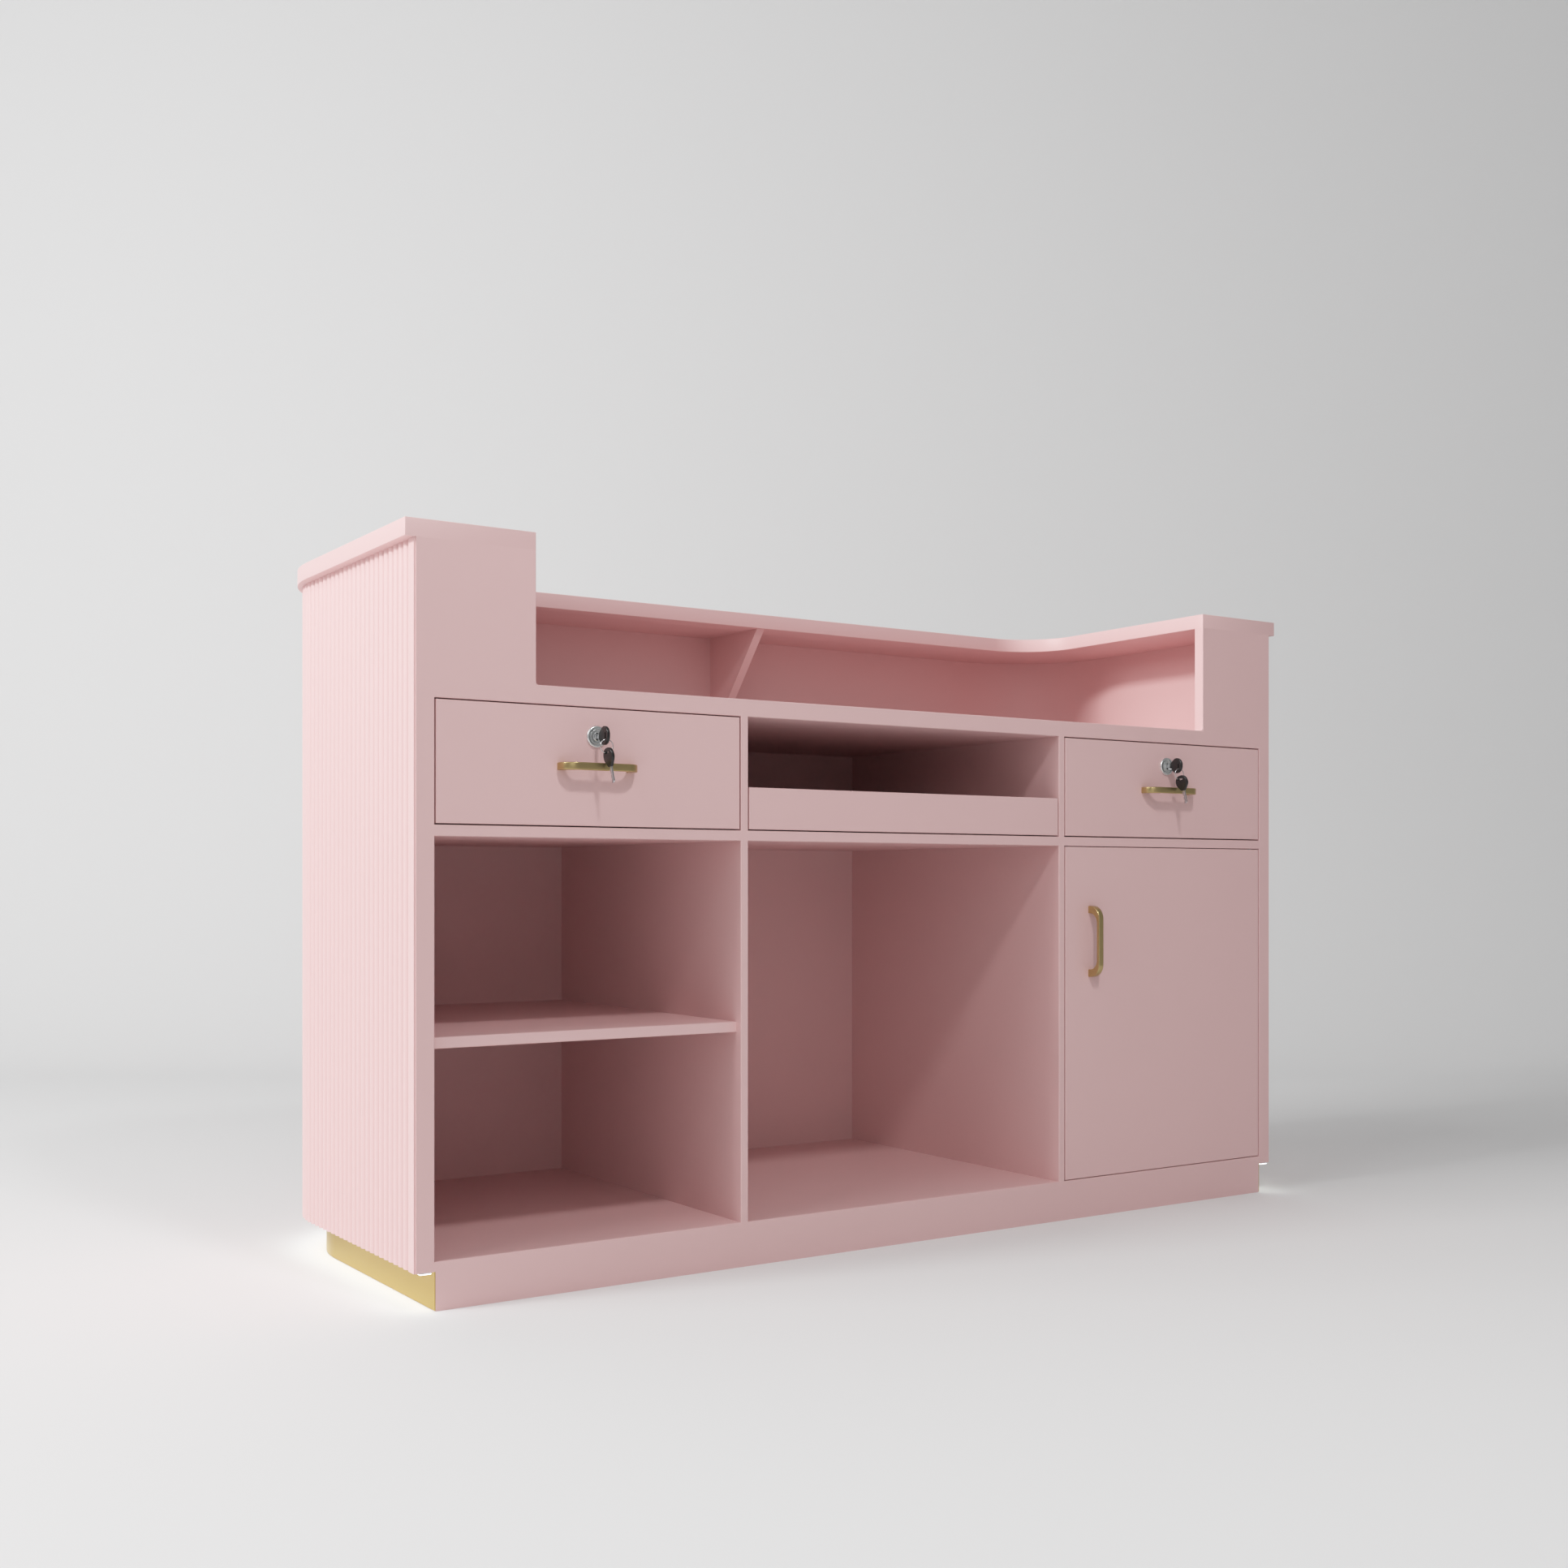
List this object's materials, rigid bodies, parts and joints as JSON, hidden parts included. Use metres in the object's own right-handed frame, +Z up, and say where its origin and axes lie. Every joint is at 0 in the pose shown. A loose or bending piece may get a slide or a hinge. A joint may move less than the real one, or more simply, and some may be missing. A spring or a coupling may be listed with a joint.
{
  "type": "checkout counter",
  "caption": "Curved reception and checkout counter with reeded outer wall, raised ledge, worktop, lockable drawers, pull-out tray, shelf bay, cupboard door and lit recessed plinth.",
  "frame": {"origin": "middle of the counter's bounding box at floor level, keys and pulls included", "axes": "+X along the counter, +Y from the staff side to the customers, +Z up"},
  "size_m": [1.6088, 0.667, 1],
  "materials": {
    "pink_lacquer": "satin lacquer",
    "plywood": "sanded",
    "skirting_brass": "satin",
    "antique_brass": "satin, darkened",
    "runner_steel": "zinc plated",
    "lock_chrome": "satin chrome",
    "key_plastic": "moulded",
    "plain_steel": "plated",
    "channel_aluminium": "anodised",
    "led_lens": "opal",
    "driver_plastic": "moulded",
    "grommet_rubber": "matt"
  },
  "bodies": {
    "counter": {"back_panel": "pink_lacquer", "cable_grommet": "grommet_rubber", "divider_left": "pink_lacquer", "divider_right": "pink_lacquer", "door_bushes": "driver_plastic", "door_catch": "driver_plastic", "fixed_runners": "runner_steel", "floor_board": "pink_lacquer", "kick_skirting": "skirting_brass", "led_channel": "channel_aluminium", "led_diffuser": "led_lens", "led_driver": "driver_plastic", "ledge_bracket": "pink_lacquer", "left_end_panel": "pink_lacquer", "lock_strikes": "plain_steel", "mid_board_center": "pink_lacquer", "mid_board_left": "pink_lacquer", "mid_board_right": "pink_lacquer", "outer_shell": "pink_lacquer", "plinth_frame": "plywood", "plinth_front": "pink_lacquer", "reeded_facing": "pink_lacquer", "right_end_panel": "pink_lacquer", "runner_packers": "plywood", "shelf": "pink_lacquer", "shelf_pegs": "plain_steel", "transaction_top": "pink_lacquer", "worktop": "pink_lacquer"},
    "left_drawer": {"left_drawer_front": "pink_lacquer", "left_drawer_box": "pink_lacquer", "left_drawer_pull": "antique_brass", "left_pull_screws": "plain_steel", "left_lock_housing": "lock_chrome", "left_drawer_runners": "runner_steel"},
    "left_runner_slides": {"left_middle_runners": "runner_steel"},
    "left_lock": {"left_lock_plug": "lock_chrome", "left_key": "key_plastic"},
    "left_key_ring": {"left_key_ring": "plain_steel", "left_spare_key": "key_plastic"},
    "right_drawer": {"right_drawer_front": "pink_lacquer", "right_drawer_box": "pink_lacquer", "right_drawer_pull": "antique_brass", "right_pull_screws": "plain_steel", "right_lock_housing": "lock_chrome", "right_drawer_runners": "runner_steel"},
    "right_runner_slides": {"right_middle_runners": "runner_steel"},
    "right_lock": {"right_lock_plug": "lock_chrome", "right_key": "key_plastic"},
    "right_key_ring": {"right_key_ring": "plain_steel", "right_spare_key": "key_plastic"},
    "tray": {"tray_front": "pink_lacquer", "tray_box": "pink_lacquer", "tray_runners": "runner_steel"},
    "tray_runner_slides": {"tray_middle_runners": "runner_steel"},
    "door": {"door_panel": "pink_lacquer", "door_pivot_pins": "plain_steel", "door_pull": "antique_brass", "door_pull_screws": "plain_steel", "door_catch_plate": "plain_steel"}
  },
  "joints": [
    {"name": "left_drawer_slide", "type": "slide", "parent": "counter", "child": "left_drawer", "axis": [0, -1, 0], "range_m": [0, 0.35]},
    {"name": "left_runner_slide", "type": "slide", "parent": "counter", "child": "left_runner_slides", "axis": [0, -1, 0], "range_m": [0, 0.175]},
    {"name": "left_lock_turn", "type": "hinge", "parent": "left_drawer", "child": "left_lock", "pos_m": [-0.53625, -0.28554, 0.7364], "axis": [0, -1, 0], "range_deg": [0, 90]},
    {"name": "left_key_swing", "type": "hinge", "parent": "left_lock", "child": "left_key_ring", "pos_m": [-0.53625, -0.31554, 0.731], "axis": [-1, 0, 0], "range_deg": [0, 60]},
    {"name": "right_drawer_slide", "type": "slide", "parent": "counter", "child": "right_drawer", "axis": [0, -1, 0], "range_m": [0, 0.35]},
    {"name": "right_runner_slide", "type": "slide", "parent": "counter", "child": "right_runner_slides", "axis": [0, -1, 0], "range_m": [0, 0.175]},
    {"name": "right_lock_turn", "type": "hinge", "parent": "right_drawer", "child": "right_lock", "pos_m": [0.53575, -0.28554, 0.7364], "axis": [0, -1, 0], "range_deg": [0, 90]},
    {"name": "right_key_swing", "type": "hinge", "parent": "right_lock", "child": "right_key_ring", "pos_m": [0.53575, -0.31554, 0.731], "axis": [-1, 0, 0], "range_deg": [0, 60]},
    {"name": "tray_slide", "type": "slide", "parent": "counter", "child": "tray", "axis": [0, -1, 0], "range_m": [0, 0.3]},
    {"name": "tray_runner_slide", "type": "slide", "parent": "counter", "child": "tray_runner_slides", "axis": [0, -1, 0], "range_m": [0, 0.15]},
    {"name": "door_hinge", "type": "hinge", "parent": "counter", "child": "door", "pos_m": [0.747, -0.27804, 0.3316], "axis": [0, 0, 1], "range_deg": [0, 105]}
  ],
  "couplings": [
    {"joint": "left_runner_slide", "follows": "left_drawer_slide", "ratio": 0.5},
    {"joint": "right_runner_slide", "follows": "right_drawer_slide", "ratio": 0.5},
    {"joint": "tray_runner_slide", "follows": "tray_slide", "ratio": 0.5}
  ]
}
